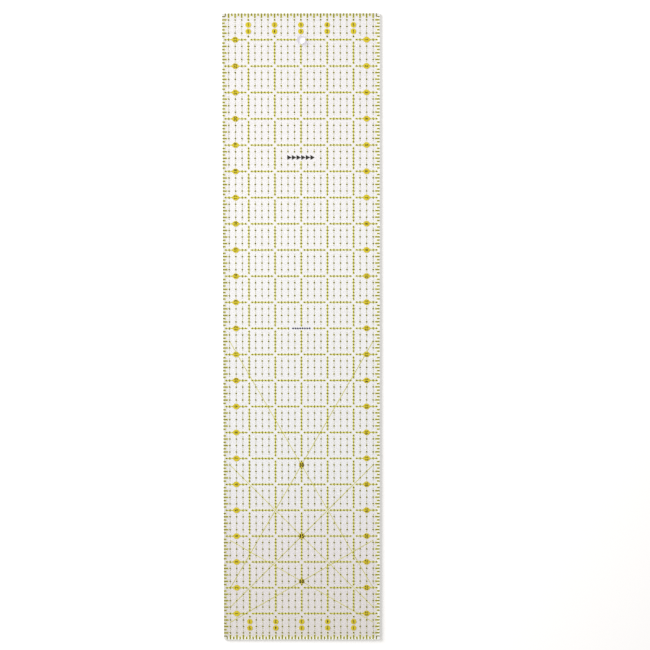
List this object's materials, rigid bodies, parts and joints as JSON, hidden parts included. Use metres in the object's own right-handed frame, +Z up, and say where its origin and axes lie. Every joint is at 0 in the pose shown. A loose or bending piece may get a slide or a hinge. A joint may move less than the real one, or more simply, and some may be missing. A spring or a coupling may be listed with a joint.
{
  "type": "quilting ruler",
  "caption": "Long flat clear acrylic rectangle with a hanging hole; inch grid, edge ticks, numbers and angle lines printed underneath in black on yellow.",
  "frame": {"origin": "middle of the underside, on the surface that the ruler lies on", "axes": "+X across the ruler, +Y along it towards the hanging hole, +Z up through the sheet, so the numbers read upright from above"},
  "size_m": [0.1524, 0.6096, 0.003],
  "materials": {
    "clear_acrylic": "clear cast acrylic, polished faces and saw-polished edges",
    "clear_coat": "clear satin coat",
    "yellow_ink": "semi-opaque screen ink",
    "black_ink": "opaque screen ink",
    "navy_ink": "opaque screen ink"
  },
  "bodies": {
    "root": {"acrylic_sheet": "clear_acrylic", "backing_coat": "clear_coat", "yellow_edge_ticks": "yellow_ink", "yellow_inch_lines": "yellow_ink", "yellow_quarter_lines": "yellow_ink", "yellow_side_discs": "yellow_ink", "yellow_end_discs": "yellow_ink", "yellow_angle_lines": "yellow_ink", "yellow_angle_discs": "yellow_ink", "black_edge_ticks": "black_ink", "black_inch_marks": "black_ink", "black_quarter_marks": "black_ink", "black_left_numbers": "black_ink", "black_right_numbers": "black_ink", "black_end_numbers": "black_ink", "black_angle_lines": "black_ink", "black_angle_numbers": "black_ink", "black_geese_motif": "black_ink", "navy_patch_motif": "navy_ink"}
  },
  "joints": []
}
